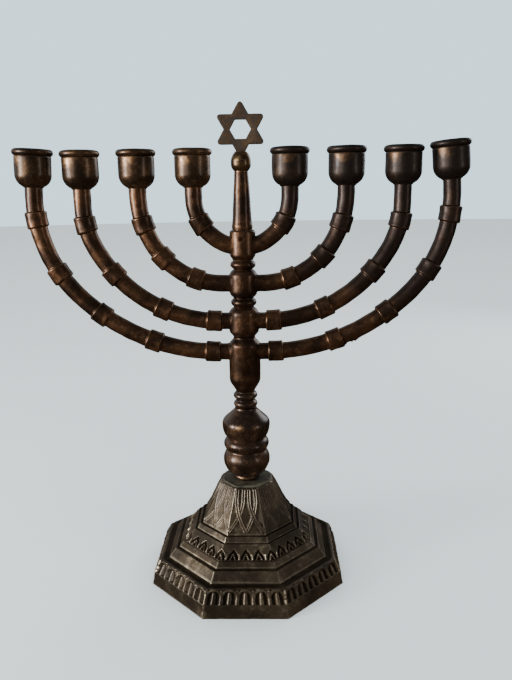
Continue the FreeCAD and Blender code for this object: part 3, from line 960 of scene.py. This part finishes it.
# The polished patch on the front facet: its heights, and its left edge at each.
POLISHED_FROM, POLISHED_FROM_X = 36.5, 6.2
POLISHED_TO, POLISHED_TO_X = 46.5, 6.7
FLATTENING = 0.7
# Chips along the lower arrises: their size and greatest depth.
CHIP_SIZE, CHIP_DEPTH = 0.0022, 1.1


def batter(bm):
    """Wears some facets flatter than others, polishes one patch, makes the left side brighter
    than the right as painted light from the left, and chips the lower arrises."""
    layer = placed_wear_and_shading_layer(bm)
    relief = bm.verts.layers.float.get("relief")
    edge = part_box("base_casting")[1].x
    step = math.tau / FACETS
    for vert in bm.verts:
        x, y, z = vert.co
        x, y = limited(x, -edge, edge), limited(y, -edge, edge)
        vert.co.x, vert.co.y = x, y
        radius = math.hypot(x, y)
        around = math.atan2(y, x)
        facet = round((around + QUARTER) / step)
        flat = WORN_FLAT[facet % FACETS] * vert[relief]
        faces_way = facet * step - QUARTER
        out = Vector((math.cos(faces_way), math.sin(faces_way), 1))
        vert.co -= out * (FLATTENING * flat * MM)
        vert[layer] -= 0.5 * flat
        corner = math.remainder(around - step / 2, step)
        near = 1 - blend(abs(corner) * radius, 0.0003, 0.0020)
        low = 1 - blend(z, 0.012, 0.016)
        chip = max(0.0, noise.noise(vert.co / CHIP_SIZE) - 0.05) * near * low
        inwards = 1 - CHIP_DEPTH * chip * MM / radius
        vert.co.x *= inwards
        vert.co.y *= inwards
        # The x term is painted light: brighter on the left, where the light falls, and darker on
        # the right.
        vert[layer] += 0.5 * chip - 0.05 * x / radius
        if facet == 0:
            vert[layer] += 0.5 * polished(x / MM, z / MM)


def polished(x, z):
    """1 inside the polished patch of the front facet, 0 outside. Millimetres."""
    share = (POLISHED_TO - z) / (POLISHED_TO - POLISHED_FROM)
    left_edge = POLISHED_TO_X + (POLISHED_FROM_X - POLISHED_TO_X) * share
    return blend(x - left_edge, 0.0, 0.7) * blend(share, 0.0, 0.3) * blend(1 - share, 0, 0.1)


def foot():
    rows = foot_rows()
    bm = bmesh.new()
    bmesh.ops.create_grid(bm, x_segments=FACET_COLUMNS, y_segments=len(rows) - 1, size=1)
    placed_wear_and_shading = placed_wear_and_shading_layer(bm)
    relief = bm.verts.layers.float.new("relief")
    near_edge = 1 - 2.5 / FACET_COLUMNS
    for vert in bm.verts:
        row = round((vert.co.y + 1) / 2 * (len(rows) - 1))
        tier, share, flats, height, normal, slant = rows[row]
        u = vert.co.x
        half_width = HALF_FACET * flats / 2
        if near_edge < abs(u) < 0.999:
            u = math.copysign(1 - GUARD / half_width, u)
        h = foot_relief(tier, u, share, half_width, slant)
        rub = RUB.get(tier, 0.0) * (max(h, 0.0) if tier == STRAP_FACET else h)
        vert[placed_wear_and_shading] = edge_wear_and_ledge_shade(tier, share, abs(u), half_width) + rub
        vert[relief] = {STRAP_FACET: h, TONGUE_BAND: 0.4 * h}.get(tier, 0.0)
        apothem = flats / 2 + h * normal[0]
        vert.co = Vector((u * HALF_FACET * apothem, -apothem, height + h * normal[1])) * MM
    bmesh.ops.spin(bm, geom=bm.verts[:] + bm.edges[:] + bm.faces[:], cent=(0, 0, 0), axis=UP,
                   angle=math.tau * (FACETS - 1) / FACETS, steps=FACETS - 1, use_duplicate=True)
    bmesh.ops.remove_doubles(bm, verts=bm.verts, dist=WELD)
    bmesh.ops.recalc_face_normals(bm, faces=bm.faces)
    uneven(bm, 0.00015, 0.004, 5)
    batter(bm)
    close_foot(bm)
    finished(bm, "foot_casting", "stand", FOOT_BRONZE, ["base_casting"],
             sharp=75, reach=0.00035)


def close_foot(bm):
    """Gives the casting its underside, its hollow and the hole for the tie rod."""
    for vert in bm.verts:
        vert.co.z = max(vert.co.z, 0.0)
    rim = [edge for edge in bm.edges if edge.is_boundary]
    top_flats, top_height = FOOT_TIERS[-1][:2]
    half_way = top_height * MM / 2
    upper = [edge for edge in rim if edge.verts[0].co.z > half_way]
    lower = [edge for edge in rim if edge.verts[0].co.z < half_way]
    inward(bm, upper, top_flats, 2 * ROD_BORE_R, top_height)
    flats = FOOT_TIERS[0][0]
    for next_flats, height in FOOT_CAVITY + [(2 * ROD_BORE_R, FOOT_CAVITY[-1][1])]:
        lower = inward(bm, lower, flats, next_flats, height)
        flats = next_flats
    bmesh.ops.bridge_loops(bm, edges=[edge for edge in bm.edges if edge.is_boundary])


def inward(bm, edges, flats, next_flats, height):
    """Extrudes a rim to the next across-flats size and height."""
    made = bmesh.ops.extrude_edge_only(bm, edges=edges)["geom"]
    share = next_flats / flats
    for vert in new_verts(made):
        vert.co = Vector((vert.co.x * share, vert.co.y * share, height * MM))
    return [item for item in made if isinstance(item, bmesh.types.BMEdge)]


# ---- hidden fasteners --------------------------------------------------------------------------
def fasteners():
    for node in ("tie_rod", "base_nut", "base_washer"):
        piece = frame["nodes"][node]
        piece.data.materials.clear()
        piece.data.materials.append(STEEL)


# ---- studio ------------------------------------------------------------------------------------
CAMERA_DISTANCE = 0.3376
CAMERA_HEIGHT = 0.209
CAMERA_ASIDE = 0.0063
CAMERA_TURN = math.radians(1.34)
CAMERA_PITCH = math.radians(12.52)
CAMERA_ROLL = math.radians(-0.89)
CAMERA_LENS = 33.55
AIM = Vector((0, 0, 0.13))
# Name, place, size, power in watts and colour.
LIGHTS = (
    ("window", (-0.81, -0.37, 0.24), (0.26, 0.34), 7.0, (0.94, 0.96, 1.0)),
    ("room", (-0.56, -0.70, 0.26), (0.34, 0.34), 1.1, (1.0, 0.97, 0.94)),
    ("side fill", (0.70, -0.45, 0.24), (0.10, 0.30), 0.45, (1.0, 0.97, 0.95)),
    ("back fill", (0.55, 0.62, 0.42), (0.40, 0.40), 1.3, (0.90, 0.95, 1.0)),
)
# Strength of the backdrop as the camera sees it, and of the light on dull surfaces.
BACKDROP = 1.75
AMBIENT = 1.42


def camera():
    data = bpy.data.cameras.new("camera")
    data.lens = CAMERA_LENS
    data.sensor_width = 36.0
    data.clip_start = 0.01
    eye = bpy.data.objects.new("camera", data)
    turn = Matrix.Rotation(CAMERA_TURN, 4, "Z")
    place = turn @ Matrix.Translation((CAMERA_ASIDE, -CAMERA_DISTANCE, CAMERA_HEIGHT))
    pitch = Matrix.Rotation(QUARTER - CAMERA_PITCH, 4, "X")
    eye.matrix_world = place @ pitch @ Matrix.Rotation(CAMERA_ROLL, 4, "Z")
    bpy.context.collection.objects.link(eye)
    bpy.context.scene.camera = eye


def panel_light(name, place, size, power, colour):
    data = bpy.data.lights.new(name, "AREA")
    data.shape = "RECTANGLE"
    data.size, data.size_y = size
    data.energy = power
    data.color = colour
    lamp = bpy.data.objects.new(name, data)
    lamp.location = place
    lamp.rotation_euler = (AIM - Vector(place)).to_track_quat("-Z", "Y").to_euler()
    bpy.context.collection.objects.link(lamp)


def studio():
    bm = bmesh.new()
    bmesh.ops.create_circle(bm, cap_ends=True, segments=96, radius=6.0)
    mesh = bpy.data.meshes.new("floor")
    bm.to_mesh(mesh)
    bm.free()
    floor = bpy.data.objects.new("floor", mesh)
    bpy.context.collection.objects.link(floor)
    paper = Finish("floor paper")
    paper.set("Base Color", (0.90, 0.965, 0.96, 1))
    paper.set("Roughness", 0.8)
    mesh.materials.append(paper.material)
    floor.visible_glossy = False
    world_light()
    for light in LIGHTS:
        panel_light(*light)


def world_light():
    """Soft light from a pale wall behind, dimmer from the front; the backdrop is pale."""
    world = bpy.data.worlds.new("studio")
    world.use_nodes = True
    sky = Nodes(world.node_tree)
    place = sky.node("ShaderNodeTexCoord").outputs["Generated"]
    split = sky.node("ShaderNodeSeparateXYZ", Vector=place)
    side, depth, up = (sky.value(split, axis) for axis in "XYZ")
    seen = sky.node("ShaderNodeLightPath")
    direct = sky.value(seen, "Is Camera Ray")
    soft = sky.value(seen, "Is Diffuse Ray")
    above = (up * 5.0 + 0.6).clamped()
    wall = (depth * 1.8 + 0.05).clamped() * (side * -0.15 + 0.26)
    left = (side * -1.4 - 0.35).clamped() * 0.24
    room = above * (wall + left + up.clamped() * 0.05) + 0.055
    indirect = soft * AMBIENT + (1.0 - soft) * room
    strength = direct * BACKDROP + (1.0 - direct) * indirect
    lit = (above + direct + soft).clamped()
    hue = sky.mix(lit, (1.0, 0.55, 0.28, 1), (0.84, 0.89, 0.93, 1))
    background = world.node_tree.nodes["Background"]
    sky.feed(background.inputs["Color"], sky.mix(direct, hue, (0.63, 0.84, 0.95, 1)))
    sky.feed(background.inputs["Strength"], strength)
    bpy.context.scene.world = world


stem()
top_plate()
star()
foot()
fasteners()
for number, pair in enumerate(PAIRS):
    for which, side_name in enumerate(SIDES):
        seed = FIRST_ARM_SEED + 2 * number + which
        arm(pair, side_name, seed)
        sleeves(pair, side_name, seed + SLEEVES_SEED)
        cup(pair, side_name, seed + CUP_SEED)
camera()
studio()
